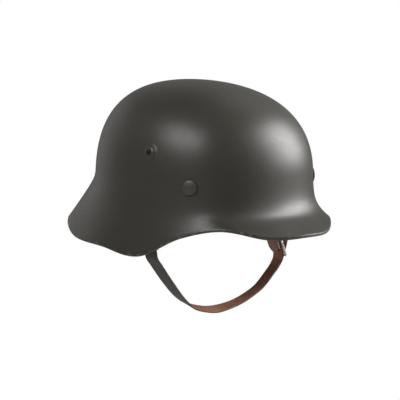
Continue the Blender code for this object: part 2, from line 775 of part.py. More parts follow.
def build():
    for old in list(bpy.data.objects):
        bpy.data.objects.remove(old)
    steel = [shell(), strap_band()]
    for spot in ("right", "left", "rear"):
        rivet(spot)
        cutter = rivet_cutter(spot)
        for piece in steel:
            combine(piece, "DIFFERENCE", cutter)
    chin_strap()
    buckle_strap()
    buckle()
    buckle_prong()


build()
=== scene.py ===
"""A pressed steel helmet with its chin strap buckled: satin paint, worn leather and dull steel."""

import math

import bmesh
import bpy
from mathutils import Matrix, Vector


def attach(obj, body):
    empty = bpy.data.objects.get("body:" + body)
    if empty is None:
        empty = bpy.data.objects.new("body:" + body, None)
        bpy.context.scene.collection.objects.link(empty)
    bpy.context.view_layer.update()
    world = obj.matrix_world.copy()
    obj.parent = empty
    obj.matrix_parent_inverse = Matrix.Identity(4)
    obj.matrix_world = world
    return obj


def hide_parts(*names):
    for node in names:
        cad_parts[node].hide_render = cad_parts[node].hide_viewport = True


# Steel form, in metres and in shares of its length, width and height
SHELL_LENGTH = 0.295
SHELL_WIDTH = 0.220
SHELL_HEIGHT = 0.158
WALL = 0.0012
HEM_THICKNESS = 0.0034
HEM_ROUNDING = 0.0010
CROWN_RADIUS_LENGTHWISE = 0.255
CROWN_RADIUS_ACROSS = 0.165
CROWN_REACH_LIMIT = 0.98
BREAK_SHARE = 0.62
HALF_LENGTH = SHELL_LENGTH / 2
HALF_WIDTH = SHELL_WIDTH / 2

OVALS = {
    "break": dict(front=0.819, rear=0.706, widest=0.162, half_width=0.891,
                  front_fullness=0.10, front_pinch=0.0, rear_fullness=0.0),
    "rim": dict(front=1.068, rear=0.932, widest=0.102, half_width=1.0,
                front_fullness=-0.03, front_pinch=0.34, rear_fullness=0.15),
}
PROFILES = {
    "front": dict(break_drop=0.557, shoulder=0.87, batter=0.0, turn_drop=0.800, sharpness=0.92),
    "side": dict(break_drop=0.557, shoulder=0.83, batter=0.02, turn_drop=0.730, sharpness=0.90),
    "rear": dict(break_drop=0.557, shoulder=0.65, batter=0.07, turn_drop=0.570, sharpness=0.80),
}
RIM_ROWS = (
    dict(angle=0, drop=0.863),
    dict(angle=22, drop=0.864),
    dict(angle=44, drop=0.819),
    dict(angle=62, drop=0.873),
    dict(angle=80, drop=1.000),
    dict(angle=100, drop=0.975),
    dict(angle=125, drop=0.963),
    dict(angle=150, drop=0.884),
    dict(angle=180, drop=0.880),
)

# Ventilation holes and rivets
VENT_ANGLE = 79.0
VENT_DROP = 0.062
VENT_HOLE_DIAMETER = 0.0055
VENT_BOSS_DIAMETER = 0.0155
VENT_BOSS_HEIGHT = 0.0026
VENT_CREST_WIDTH = 0.0006
SIDE_RIVET_ANGLE = 54.0
RIVET_DROP = 0.0928
RIVET_HEAD_DIAMETER = 0.0145
RIVET_HEAD_HEIGHT = 0.0026
RIVET_HEAD_EDGE = 0.0009
RIVET_UNDERCUT = 0.0011
RIVET_SOFTENING = 0.0003
RIVET_SHANK_DIAMETER = 0.005
RIVET_TAIL_DIAMETER = 0.010
RIVET_TAIL_THICKNESS = 0.001
RIVET_HOLE_DIAMETER = 0.0056

# Strap loops, strap and buckle
BAND_GAP = 0.0006
LOOP_FORWARD = 0.0405
LOOP_LENGTH = 0.043
LOOP_LEAN = 6.0
LOOP_THICKNESS = 0.0012
LOOP_SET_IN = 0.0002
LOOP_BAR_HEIGHT = 0.002
LOOP_ANGLE_LIMITS = (20, 160)
STRAP_WIDTH = 0.0148
LEATHER = 0.0018
STRAP_DROP = 0.0873
STRAP_HOLE_DIAMETER = 0.003
STRAP_HOLE_PITCH = 0.011
STRAP_TIP_LENGTH = 0.008
STRAP_TIP_LEAST = 0.02
LEATHER_BEVEL = 0.00055
CREASE_INSET = 0.0016
CREASE_WIDTH = 0.0005
CREASE_DEPTH = 0.00022
BUCKLE_INSET = 0.0088
BUCKLE_HANG = 0.0346
BUCKLE_TILT = 21.0
BUCKLE_LENGTH = 0.0206
BUCKLE_WIRE = 0.0022
BUCKLE_SIDE_ROOM = 0.0009
BUCKLE_CORNER = 0.0022
BACKING_OVERLAP = 0.009
BACKING_LENGTH = 0.0135
PRONG_WIDTH = 0.002
PRONG_THICKNESS = 0.0012
PRONG_BEVEL = 0.0003
PRONG_TAPER_LENGTH = 0.004
PRONG_TIP_SHARE = 0.55
PRONG_CURL = range(-150, 91, 12)
BUCKLE_PASS_SLANT = 24.0
CLEARANCE = 0.0003
LAYER_PITCH = LEATHER + 2 * CLEARANCE
PUNCH_LENGTH = 4 * LEATHER

STRAP_ROWS = (
    dict(across=-0.98, hang=0.320, tip=0),
    dict(across=-0.91, hang=0.415, tip=0),
    dict(across=-0.76, hang=0.607, tip=2),
    dict(across=-0.58, hang=0.806, tip=10),
    dict(across=-0.43, hang=0.915, tip=20),
    dict(across=-0.25, hang=0.975, tip=18),
    dict(across=-0.08, hang=1.000, tip=16),
    dict(across=0.11, hang=0.987, tip=8),
    dict(across=0.28, hang=0.955, tip=3),
    dict(across=0.46, hang=0.893, tip=-1),
    dict(across=0.61, hang=0.818, tip=-4),
    dict(across=0.75, hang=0.700, tip=-4),
    dict(across=0.84, hang=0.615, tip=-3),
    dict(across=0.90, hang=0.530, tip=0),
)
FOLD_ROWS = (
    dict(outward=0.000, down=0.10),
    dict(outward=-0.013, down=0.19),
)
FOLD_END_DOWN = 0.225
TAIL_ROWS = (
    dict(outward=-0.140, down=1.06),
    dict(outward=-0.080, down=0.87),
    dict(outward=-0.045, down=0.66),
    dict(outward=-0.025, down=0.47),
)

# Fineness of the pieces
SHELL_STEPS = 200
DOME_ROWS = 44
SKIRT_ROWS = 30
INNER_ROWS = 40
HEM_STEPS = 8
HEM_SHARE = 0.032
HEM_LIP_SHARE = 0.006
WEAR_SHARE = 0.985
VENT_FINE_REACH = 0.013
VENT_FINE_CUTS = 3
RIVET_DOME_STEPS = 16
FOLD_STEPS = 12
BEND_STRIDE = 3
STRAP_STEP = 0.0015
STRAP_FACE_CUTS = (-0.35, -0.175, 0, 0.175, 0.35)
PRONG_CUTS = 40
BEVEL_STEPS = 3
ROUND_STEPS = 48
WIRE_STEPS = 20
WIRE_BEND_STEPS = 8
CUTTER_LENGTH = 0.02
FINE_STEP = 1e-4
MERGE_DISTANCE = 1e-6
ANGLE_DIGITS = 7
HALVINGS = 40

# Angles, in degrees, past which an edge shows as sharp
SHARP_ANGLE = 35
SHELL_SHARP_ANGLE = 50
LEATHER_SHARP_ANGLE = 60

# Camera
CAMERA_AZIMUTH = 43.3
CAMERA_ELEVATION = 6.15
CAMERA_DISTANCE = 1.90
CAMERA_CENTRE = Vector((0.018, 0, -0.0788))
AIM_LEFT = 0.0043
AIM_DOWN = 0.0370
CAMERA_LENS = 175.2
CAMERA_SENSOR = 36
CAMERA_REACH = 100

SIDES = {"right": -1, "left": 1}
RIVET_SPOTS = ("right", "left", "rear")
X_AXIS = Vector((1, 0, 0))
Z_AXIS = Vector((0, 0, 1))


# Form of the steel


def oval(name, angle):
    """A point of one of the two outlines seen from above, at an angle from the front."""
    row = OVALS[name]
    c, s = math.cos(angle), math.sin(angle)
    front, rear, widest = (row[k] * HALF_LENGTH for k in ("front", "rear", "widest"))
    x = widest + (front + rear) / 2 * c + ((front - rear) / 2 - widest) * c * c
    front_fullness = row["front_fullness"] - row["front_pinch"] * s * s
    fullness = front_fullness * (1 + c) / 2 + row["rear_fullness"] * (1 - c) / 2
    return Vector((x, row["half_width"] * HALF_WIDTH * s * (1 + fullness * c * c), 0))


def profile(column, angle):
    """A column of PROFILES at an angle, blended from its three rows."""
    c, s = math.cos(angle), math.sin(angle)
    along = PROFILES["front"][column] * (1 + c) / 2 + PROFILES["rear"][column] * (1 - c) / 2
    return along * c * c + PROFILES["side"][column] * s * s


def rim_drop(angle):
    """How far the rim lies below the crown at an angle, on a smooth curve through RIM_ROWS."""
    degrees = abs(math.degrees(math.atan2(math.sin(angle), math.cos(angle))))
    rows = [(row["angle"], row["drop"]) for row in RIM_ROWS]
    rows = [(-rows[1][0], rows[1][1])] + rows + [(360 - rows[-2][0], rows[-2][1])]
    i = 1
    while i < len(rows) - 3 and rows[i + 1][0] < degrees:
        i += 1
    (x0, y0), (x1, y1), (x2, y2), (x3, y3) = rows[i - 1:i + 3]
    t = (degrees - x1) / (x2 - x1)
    slope_1 = (y2 - y0) / (x2 - x0) * (x2 - x1)
    slope_2 = (y3 - y1) / (x3 - x1) * (x2 - x1)
    share = ((2 * t**3 - 3 * t**2 + 1) * y1 + (t**3 - 2 * t**2 + t) * slope_1
             + (3 * t**2 - 2 * t**3) * y2 + (t**3 - t**2) * slope_2)
    return share * SHELL_HEIGHT


MERIDIANS = {}


def meridian(angle):
    """The two curves that the steel follows from the crown to the break and on to the rim."""
    angle = round(angle, ANGLE_DIGITS)
    if angle in MERIDIANS:
        return MERIDIANS[angle]
    at_break, at_rim = oval("break", angle), oval("rim", angle)
    outward = at_break.normalized()
    reach = at_break.length
    drop = profile("break_drop", angle) * SHELL_HEIGHT
    shoulder, batter = profile("shoulder", angle), profile("batter", angle)
    curvature = outward.x**2 / CROWN_RADIUS_LENGTHWISE + outward.y**2 / CROWN_RADIUS_ACROSS
    crown_reach = min(math.sqrt(2 / 3 * drop * (1 - shoulder) / curvature), CROWN_REACH_LIMIT * reach)
    crown = Vector((0, 0, WALL))
    break_point = crown + at_break - Z_AXIS * drop
    dome = (
        crown,
        crown + outward * crown_reach,
        crown + outward * (reach - batter * shoulder * drop) - Z_AXIS * drop * (1 - shoulder),
        break_point,
    )
    rim_point = crown + at_rim - Z_AXIS * rim_drop(angle)
    turn_depth = (profile("turn_drop", angle) - profile("break_drop", angle)) * SHELL_HEIGHT
    turn_point = break_point + (outward * batter - Z_AXIS) * turn_depth
    sharpness = profile("sharpness", angle)
    skirt = (
        break_point,
        break_point.lerp(turn_point, sharpness),
        rim_point.lerp(turn_point, sharpness),
        rim_point,
    )
    MERIDIANS[angle] = dome, skirt
    return dome, skirt


def bezier(points, t):
    """The place at a share of a curve through its two ends, steered by the two points between."""
    a, b, c, d = points
    return a * (1 - t)**3 + b * 3 * (1 - t)**2 * t + c * 3 * (1 - t) * t**2 + d * t**3


def surface(angle, share):
    """A point of the outer face: share 0 is the crown, BREAK_SHARE the break and 1 the rim."""
    dome, skirt = meridian(angle)
    if share <= BREAK_SHARE:
        return bezier(dome, share / BREAK_SHARE)
    return bezier(skirt, (share - BREAK_SHARE) / (1 - BREAK_SHARE))


def surface_axes(angle, share):
    """The outer face's directions at a point: along the rim, down the steel and outward."""
    low, high = max(share - FINE_STEP, 0), min(share + FINE_STEP, 1)
    down = (surface(angle, high) - surface(angle, low)).normalized()
    share = max(share, FINE_STEP)
    along = (surface(angle + FINE_STEP, share) - surface(angle - FINE_STEP, share)).normalized()
    outward = down.cross(along).normalized()
    return down.cross(outward), down, outward


def halved(low, high, falls_short):
    """The value between two limits up to which a test holds."""
    for _ in range(HALVINGS):
        middle = (low + high) / 2
        if falls_short(middle):
            low = middle
        else:
            high = middle
    return low


def share_at(angle, drop):
    """The share at which the steel is a given drop below the crown."""
    return halved(0.0, 1.0, lambda share: surface(angle, share).z > WALL - drop)


def axes_matrix(origin, x_axis, y_axis, z_axis):
    return Matrix.Translation(origin) @ Matrix((x_axis, y_axis, z_axis)).transposed().to_4x4()


def face_matrix(angle, share):
    """Axes on the outer face: X along the rim, Z outward."""
    along, down, outward = surface_axes(angle, share)
    return axes_matrix(surface(angle, share), along, outward.cross(along), outward)


def vent_place(side):
    angle = math.radians(VENT_ANGLE) * SIDES[side]
    return angle, share_at(angle, VENT_DROP)


def smooth_step(value, low, high):
    """Rises gently from 0 at one value to 1 at another."""
    t = min(max((value - low) / (high - low), 0.0), 1.0)
    return t * t * (3 - 2 * t)


# Pieces


def add_object(name, data):
    added = bpy.data.objects.new(name, data)
    bpy.context.scene.collection.objects.link(added)
    return added


def mesh_data(name, mesh):
    data = bpy.data.meshes.new(name)
    mesh.to_mesh(data)
    mesh.free()
    return data


def finish_piece(name, mesh, materials, replaced, sharp=SHARP_ANGLE):
    """Makes a finished piece of the helmet, on its one body, in place of the plain solids named."""
    bmesh.ops.recalc_face_normals(mesh, faces=mesh.faces)
    data = mesh_data(name, mesh)
    for material in materials:
        data.materials.append(material)
    data.shade_smooth()
    data.set_sharp_from_angle(angle=math.radians(sharp))
    piece = add_object(name, data)
    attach(piece, "root")
    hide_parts(*replaced)
    return piece


def cut_away(piece, cutter):
    """Takes a cutter's shape out of a piece."""
    bmesh.ops.recalc_face_normals(cutter, faces=cutter.faces)
    data = mesh_data("cutter", cutter)
    tool = add_object("cutter", data)
    modifier = piece.modifiers.new("cut", "BOOLEAN")
    modifier.operation = "DIFFERENCE"
    modifier.solver = "EXACT"
    modifier.object = tool
    depsgraph = bpy.context.evaluated_depsgraph_get()
    result = bpy.data.meshes.new_from_object(piece.evaluated_get(depsgraph), depsgraph=depsgraph)
    old = piece.data
    piece.modifiers.clear()
    piece.data = result
    result.name = old.name
    bpy.data.meshes.remove(old)
    bpy.data.objects.remove(tool)
    bpy.data.meshes.remove(data)


def cut_box(piece, place, size):
    """Takes a box out of a piece."""
    cutter = bmesh.new()
    bmesh.ops.create_cube(cutter, size=1, matrix=place @ Matrix.Diagonal((*size, 1)))
    cut_away(piece, cutter)


def spun(section, steps):
    """A section in X and Z, spun a full turn about Z."""
    mesh = bmesh.new()
    verts = [mesh.verts.new((x, 0, z)) for x, z in section]
    edges = [mesh.edges.new(pair) for pair in zip(verts, verts[1:])]
    bmesh.ops.spin(mesh, geom=verts + edges, cent=(0, 0, 0), axis=(0, 0, 1),
                   angle=math.tau, steps=steps, use_merge=True)
    bmesh.ops.remove_doubles(mesh, verts=mesh.verts, dist=MERGE_DISTANCE)
    return mesh


def plug(radius, length, place):
    """A round bar about the Z axis of its place."""
    mesh = bmesh.new()
    bmesh.ops.create_cone(mesh, cap_ends=True, segments=ROUND_STEPS, radius1=radius, radius2=radius,
                          depth=length, matrix=place)
    return mesh


def shell_section():
    """The blank's section: out from the crown, round the rolled hem and back up the inside."""
    dome = [BREAK_SHARE * (i / DOME_ROWS) for i in range(DOME_ROWS + 1)]
    skirt = [BREAK_SHARE + (1 - BREAK_SHARE) * (i + 1) / SKIRT_ROWS for i in range(SKIRT_ROWS)]
    section = [(share, 0) for share in dome + skirt]
    for i in range(1, HEM_STEPS):
        turn = math.pi * i / HEM_STEPS
        depth = HEM_THICKNESS * (1 - math.cos(turn)) / 2
        section.append((1 + HEM_ROUNDING * math.sin(turn), -depth))
    lip = 1 - HEM_SHARE
    section += [(1, -HEM_THICKNESS), (lip + HEM_LIP_SHARE, -HEM_THICKNESS)]
    for i in range(1, HEM_STEPS):
        turn = math.pi / 2 * i / HEM_STEPS
        depth = WALL + (HEM_THICKNESS - WALL) * math.cos(turn)
        section.append((lip + HEM_LIP_SHARE * (1 - math.sin(turn)), -depth))
    inner = [lip * (1 - i / INNER_ROWS) for i in range(INNER_ROWS + 1)]
    return section + [(share, -WALL) for share in inner]


def refine_vents(mesh):
    """Splits the blank's cells finely where the ventilation bosses are pressed."""
    for side in SIDES:
        angle, share = vent_place(side)
        centre = Vector((math.cos(angle), math.sin(angle))) * share
        reach = VENT_FINE_REACH / SHELL_HEIGHT
        near = [e for e in mesh.edges
                if all((v.co.to_2d() - centre).length < reach for v in e.verts)]
        bmesh.ops.subdivide_edges(mesh, edges=near, cuts=VENT_FINE_CUTS, use_grid_fill=True)


def press_point(co):
    """Where a point of the blank ends up on the real form."""
    share = co.to_2d().length
    angle = round(math.atan2(co.y, co.x), ANGLE_DIGITS) if share > MERGE_DISTANCE else 0.0
    depth = -co.z
    beyond = max(share - 1, 0)
    share = min(share, 1)
    if share < FINE_STEP:
        return surface(angle, 0) - Z_AXIS * depth
    along, down, outward = surface_axes(angle, share)
    return surface(angle, share) + down * beyond - outward * (depth - vent_rise(angle, share))


VENTS = {}


def vent_rise(angle, share):
    """How far the steel is pressed out round a ventilation hole."""
    if not VENTS:
        VENTS.update({side: surface(*vent_place(side)) for side in SIDES})
    side = "left" if angle > 0 else "right"
    away = (surface(angle, share) - VENTS[side]).length
    foot = VENT_BOSS_DIAMETER / 2
    if away >= foot:
        return 0.0
    crest = VENT_HOLE_DIAMETER / 2 + VENT_CREST_WIDTH
    return VENT_BOSS_HEIGHT * (1 - smooth_step(away, crest, foot))


def helmet_shell(paint):
    """The shell, pressed from a flat round blank, with its ventilation and rivet holes."""
    mesh = spun(shell_section(), SHELL_STEPS)
    refine_vents(mesh)
    wear = mesh.verts.layers.float.new("wear")
    for vert in mesh.verts:
        share = vert.co.to_2d().length
        vert[wear] = smooth_step(share, WEAR_SHARE, 1.0)
        vert.co = press_point(vert.co)
    piece = finish_piece("helmet_shell", mesh, [paint], ["shell"], SHELL_SHARP_ANGLE)
    for side in SIDES:
        cut_away(piece, plug(VENT_HOLE_DIAMETER / 2, CUTTER_LENGTH, face_matrix(*vent_place(side))))
    for spot in RIVET_SPOTS:
        cut_away(piece, plug(RIVET_HOLE_DIAMETER / 2, CUTTER_LENGTH, face_matrix(*rivet_place(spot))))
    piece.data.set_sharp_from_angle(angle=math.radians(SHELL_SHARP_ANGLE))


def rivet_place(spot):
    angle = math.pi if spot == "rear" else math.radians(SIDE_RIVET_ANGLE) * SIDES[spot]
    return angle, share_at(angle, RIVET_DROP)


def rivet(spot, paint):
    """A domed rivet head with a softly rounded edge, on the shank and tail that hold it."""
    name = f"rivet_{spot}"
    place = face_matrix(*rivet_place(spot))
    to_local = place.inverted()
    corners = [to_local @ v.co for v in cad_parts[name].data.vertices]
    top = max(p.z for p in corners)
    bottom = min(p.z for p in corners)
    clench = bottom + RIVET_TAIL_THICKNESS
    head, shank, tail = RIVET_HEAD_DIAMETER / 2, RIVET_SHANK_DIAMETER / 2, RIVET_TAIL_DIAMETER / 2
    soft = RIVET_SOFTENING
    seat = top - RIVET_HEAD_HEIGHT
    edge = seat + RIVET_HEAD_EDGE
    section = [(0, bottom), (tail - soft, bottom), (tail, bottom + soft), (tail, clench),
               (shank, clench), (shank, seat), (head - RIVET_UNDERCUT, seat),
               (head, seat + RIVET_UNDERCUT / 2), (head, edge - soft),
               (head - soft / 3, edge - soft / 3)]
    dome_height = RIVET_HEAD_HEIGHT - RIVET_HEAD_EDGE
    dome_radius = (head**2 + dome_height**2) / (2 * dome_height)
    for i in range(1, RIVET_DOME_STEPS):
        reach = (head - soft) * (1 - i / RIVET_DOME_STEPS)
        section.append((reach, top - dome_radius + math.sqrt(dome_radius**2 - reach**2)))
    section.append((0, top))
    mesh = spun(section, ROUND_STEPS)
    bmesh.ops.transform(mesh, matrix=place, verts=mesh.verts)
    finish_piece(name + "_head", mesh, [paint], [name])


def strap_band(steel):
    """The plain steel band and its two loops, with the round stretches smoothed."""
    mesh = bmesh.new()
    mesh.from_mesh(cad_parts["strap_band"].data)
    bmesh.ops.remove_doubles(mesh, verts=mesh.verts, dist=MERGE_DISTANCE)
    finish_piece("strap_band_steel", mesh, [steel], ["strap_band"])


# Lines that the leather and the prong follow


def loop_angle():
    """The angle from the front at which the left strap loop hangs."""
    low, high = (math.radians(limit) for limit in LOOP_ANGLE_LIMITS)
    return halved(low, high, lambda a: surface(a, share_at(a, RIVET_DROP)).x > LOOP_FORWARD)


def side_frame(side):
    """Upright axes at the middle of a strap loop's bar: X forward along it, Y outward, Z up."""
    angle = loop_angle() * SIDES[side]
    share = share_at(angle, RIVET_DROP)
    outward = surface_axes(angle, share)[2]
    outward = Vector((outward.x, outward.y, 0)).normalized()
    forward = Vector((abs(outward.y), -SIDES[side] * outward.x, 0))
    top = surface(angle, share) - outward * (WALL + BAND_GAP + LOOP_SET_IN + LOOP_THICKNESS / 2)
    lean = math.radians(LOOP_LEAN)
    reach = LOOP_LENGTH - LOOP_BAR_HEIGHT / 2
    bar = top - outward * reach * math.sin(lean) - Z_AXIS * reach * math.cos(lean)
    return axes_matrix(bar, forward, outward, Z_AXIS)


def fold_radius(bar_half):
    """How far the middle of the leather lies from the middle of a bar that it goes round."""
    return bar_half + CLEARANCE + LEATHER / 2


def loop_fold_radius():
    return fold_radius(math.hypot(LOOP_THICKNESS, LOOP_BAR_HEIGHT) / 2)


def buckle_frame():
    """Axes at the buckle's middle: X along its bars, Y outward, Z up it."""
    place = Matrix.Translation((0, -BUCKLE_INSET, -BUCKLE_HANG))
    return side_frame("left") @ place @ Matrix.Rotation(math.radians(BUCKLE_TILT), 4, "X")


def bar_reach():
    """How far each bar lies from the buckle's middle."""
    return (BUCKLE_LENGTH - BUCKLE_WIRE) / 2


def prong_height():
    """How far outward of the buckle's frame the prong lies."""
    return BUCKLE_WIRE / 2 + CLEARANCE + PRONG_THICKNESS / 2


def arc(centre, radius, start, end):
    """Points on an arc in Y and Z about a centre."""
    angles = [start + (end - start) * i / FOLD_STEPS for i in range(FOLD_STEPS + 1)]
    return [centre + Vector((0, math.cos(a), math.sin(a))) * radius for a in angles]


def chin_strap_line():
    """The chin strap's middle line and width directions, from the fold on the right to the tip."""
    right, left, buckle = side_frame("right"), side_frame("left"), buckle_frame()
    right_bar, left_bar = right.to_3x3() @ X_AXIS, left.to_3x3() @ X_AXIS
    fold = [Vector((0, row["outward"], -row["down"])) * STRAP_DROP for row in FOLD_ROWS]
    above, below = (row["down"] for row in FOLD_ROWS[-2:])
    run_on = (FOLD_END_DOWN - below) / (below - above)
    end = fold[-1] + (fold[-1] - fold[-2]) * run_on
    half_pitch = Vector((0, LAYER_PITCH / 2, 0))
    inner = [point - half_pitch for point in [end] + fold[::-1]]
    outer = [point + half_pitch for point in fold]
    round_bar = arc(Vector((0, 0, 0)), loop_fold_radius(), math.pi, 0)
    points = [right @ p for p in inner + round_bar + outer]
    wide = [right_bar] * len(points)
    for row in STRAP_ROWS:
        share = (row["across"] + 1) / 2
        points.append(Vector((left.translation.x, row["across"] * left.translation.y,
                              left.translation.z - row["hang"] * STRAP_DROP)))
        tip = Z_AXIS * math.sin(math.radians(row["tip"]))
        wide.append(right_bar.lerp(left_bar, share).normalized() - tip)
    end_bar = left.inverted() @ buckle @ Vector((0, 0, -bar_reach()))
    slant = math.radians(BUCKLE_PASS_SLANT)
    inward = Vector((0, -math.cos(slant), math.sin(slant)))
    points.append(left @ (end_bar + inward * fold_radius(BUCKLE_WIRE / 2)))
    tail = [Vector((0, row["outward"], -row["down"])) * BUCKLE_HANG for row in TAIL_ROWS]
    points += [left @ p for p in tail]
    wide += [left_bar] * (len(points) - len(wide))
    return points, wide


def buckle_strap_line():
    """The short strip's middle line: round the buckle, over the left loop, down behind the buckle."""
    left, buckle = side_frame("left"), buckle_frame()
    upper_bar = left.inverted() @ buckle @ Vector((0, 0, bar_reach()))
    pull = upper_bar.normalized()
    outward = Vector((0, -pull.z, pull.y))
    turn = math.atan2(outward.z, outward.y)
    span = upper_bar.length
    overlap = span - BACKING_OVERLAP
    near = fold_radius(BUCKLE_WIRE / 2)
    far = near + LAYER_PITCH

    def at(along, out):
        return pull * along + outward * out

    doubled_end = [at(overlap, 0), at((overlap + span) / 2, -near / 2)]
    round_buckle = arc(upper_bar, near, turn + math.pi, turn + 2 * math.pi)
    outer = [at(overlap, LAYER_PITCH), at(overlap / 2, LAYER_PITCH / 2)]
    round_loop = arc(Vector((0, 0, 0)), loop_fold_radius(), turn, turn + math.pi)
    inner = [at(overlap / 2, -LAYER_PITCH / 2), at(overlap, -LAYER_PITCH)]
    bend = arc(upper_bar, far, turn + math.pi, math.pi + math.radians(BUCKLE_TILT))[::BEND_STRIDE]
    behind = [Vector((0, -far, bar_reach() - BACKING_LENGTH * share)) for share in (0.5, 1.0)]
    points = [left @ p for p in doubled_end + round_buckle + outer + round_loop + inner + bend]
    points += [buckle @ p for p in behind]
    return points, [left.to_3x3() @ X_AXIS] * len(points)


def smooth_line(points, wide):
    """A smooth curve through the given points, as points about a step apart with width directions."""
    line = []
    ends = [points[0] * 2 - points[1]] + list(points) + [points[-1] * 2 - points[-2]]
    for i in range(len(points) - 1):
        p0, p1, p2, p3 = ends[i:i + 4]
        pairs = ((p0, p1), (p1, p2), (p2, p3))
        before, here, after = (math.sqrt(max((b - a).length, MERGE_DISTANCE)) for a, b in pairs)
        middle = (p2 - p1) / here
        slope_1 = ((p1 - p0) / before - (p2 - p0) / (before + here) + middle) * here
        slope_2 = (middle - (p3 - p1) / (here + after) + (p3 - p2) / after) * here
        count = max(1, round((p2 - p1).length / STRAP_STEP))
        for n in range(count):
            t = n / count
            point = (p1 * (2 * t**3 - 3 * t**2 + 1) + slope_1 * (t**3 - 2 * t**2 + t)
                     + p2 * (3 * t**2 - 2 * t**3) + slope_2 * (t**3 - t**2))
            line.append((point, wide[i].lerp(wide[i + 1], t)))
    line.append((points[-1], wide[-1]))
    return line


class Route:
    """A line measured by length, with the strip's axes at any place on it."""

    def __init__(self, line):
        self.points = [point for point, _ in line]
        self.wide = [wide for _, wide in line]
        self.marks = [0.0]
        for here, there in zip(self.points, self.points[1:]):
            self.marks.append(self.marks[-1] + (there - here).length)
        self.length = self.marks[-1]
        self.last = 0

    def axes(self, along):
        """The place, direction, width direction and thickness direction at a length along the line."""
        i = self.last
        while i > 0 and self.marks[i] > along:
            i -= 1
        while i < len(self.marks) - 2 and self.marks[i + 1] < along:
            i += 1
        self.last = i
        t = (along - self.marks[i]) / (self.marks[i + 1] - self.marks[i])
        place = self.points[i].lerp(self.points[i + 1], t)
        ahead = self.heading(i).lerp(self.heading(i + 1), t).normalized()
        wide = self.wide[i].lerp(self.wide[i + 1], t)
        wide = (wide - ahead * wide.dot(ahead)).normalized()
        return place, ahead, wide, ahead.cross(wide)

    def heading(self, i):
        before, after = max(i - 1, 0), min(i + 1, len(self.points) - 1)
        return (self.points[after] - self.points[before]).normalized()

    def nearest(self, point):
        return min(zip(self.points, self.marks), key=lambda pair: (pair[0] - point).length)[1]


# Leather


EDGE_SLOPE = 0.75


def lengthwise_edges(mesh, length):
    """The edges that run from end to end of a strip."""
    return [e for e in mesh.edges if abs(e.verts[0].co.x - e.verts[1].co.x) > length / 2]


def leather_blank(length):
    """A flat strip with rounded edges and a crease line pressed near each edge of its outer face."""
    mesh = bmesh.new()
    bmesh.ops.create_cube(mesh, size=1, matrix=Matrix.Diagonal((length, STRAP_WIDTH, LEATHER, 1)))
    bmesh.ops.translate(mesh, verts=mesh.verts, vec=(length / 2, 0, 0))
    bmesh.ops.bevel(mesh, geom=lengthwise_edges(mesh, length), offset=LEATHER_BEVEL,
                    segments=BEVEL_STEPS, profile=0.5, affect="EDGES", material=-1)
    crease = STRAP_WIDTH / 2 - CREASE_INSET
    cuts = [side * (crease + step * CREASE_WIDTH) for side in (-1, 1) for step in (-1, 0, 1)]
    cuts += [STRAP_WIDTH * share for share in STRAP_FACE_CUTS]
    for cut in cuts:
        bmesh.ops.bisect_plane(mesh, geom=mesh.verts[:] + mesh.edges[:] + mesh.faces[:],
                               plane_co=(0, cut, 0), plane_no=(0, 1, 0))
    for vert in mesh.verts:
        if abs(abs(vert.co.y) - crease) < MERGE_DISTANCE and vert.co.z > 0:
            vert.co.z -= CREASE_DEPTH
    bmesh.ops.subdivide_edges(mesh, edges=lengthwise_edges(mesh, length),
                              cuts=round(length / STRAP_STEP), use_grid_fill=True)
    return mesh


def tip_share(left):
    """How wide the strip is, as a share, where so much of its length is left."""
    if left >= STRAP_TIP_LENGTH:
        return 1.0
    return math.sqrt(max(1 - (1 - left / STRAP_TIP_LENGTH)**2, STRAP_TIP_LEAST))


def face_finish(normal):
    """Which finish a face of the flat strip has: 0 the outer face, 1 the inner one, 2 the edges."""
    if abs(normal.z) < EDGE_SLOPE:
        return 2
    return 0 if normal.z > 0 else 1


def lay_leather(name, line, finishes, replaced):
    """Bends a flat strip with one rounded end along its line, and gives the piece and its route."""
    route = Route(smooth_line(*line))
    mesh = leather_blank(route.length)
    uv = mesh.loops.layers.uv.new("strip")
    for face in mesh.faces:
        face.material_index = face_finish(face.normal)
        for loop in face.loops:
            loop[uv].uv = (loop.vert.co.x, loop.vert.co.y)
    for vert in sorted(mesh.verts, key=lambda v: v.co.x):
        along, across, height = vert.co
        place, ahead, wide, thick = route.axes(along)
        vert.co = place + wide * across * tip_share(route.length - along) + thick * height
    piece = finish_piece(name, mesh, finishes, [replaced], LEATHER_SHARP_ANGLE)
    return piece, route


def punch_holes(piece, route, start, stop):
    """Punches the prong holes between two lengths along the strap."""
    along = start
    while along < stop:
        place, ahead, wide, thick = route.axes(along)
        hole = axes_matrix(place, wide, ahead, thick)
        cut_away(piece, plug(STRAP_HOLE_DIAMETER / 2, PUNCH_LENGTH, hole))
        along += STRAP_HOLE_PITCH


def chin_strap(finishes):
    """The long strap, with a slot for the prong and the spare holes."""
    piece, route = lay_leather("chin_strap_leather", chin_strap_line(), finishes, "chin_strap")
    centre = Vector((0, prong_height(), -bar_reach() / 2))
    size = (PRONG_WIDTH + 2 * CLEARANCE, PRONG_THICKNESS + 4 * CLEARANCE, bar_reach())
    cut_box(piece, buckle_frame() @ Matrix.Translation(centre), size)
    used = route.nearest(buckle_frame() @ centre)
    punch_holes(piece, route, used + STRAP_HOLE_PITCH, route.length - STRAP_TIP_LENGTH)


def buckle_strap(finishes):
    """The short doubled strip, slotted for the prong where it goes round the buckle's upper bar."""
    piece, _ = lay_leather("buckle_strap_leather", buckle_strap_line(), finishes, "buckle_strap")
    room = 2 * (fold_radius(BUCKLE_WIRE / 2) + LEATHER / 2) + CLEARANCE
    upper_bar = buckle_frame() @ Matrix.Translation((0, 0, bar_reach()))
    cut_box(piece, upper_bar, (PRONG_WIDTH + 2 * CLEARANCE, room, room))


# Buckle


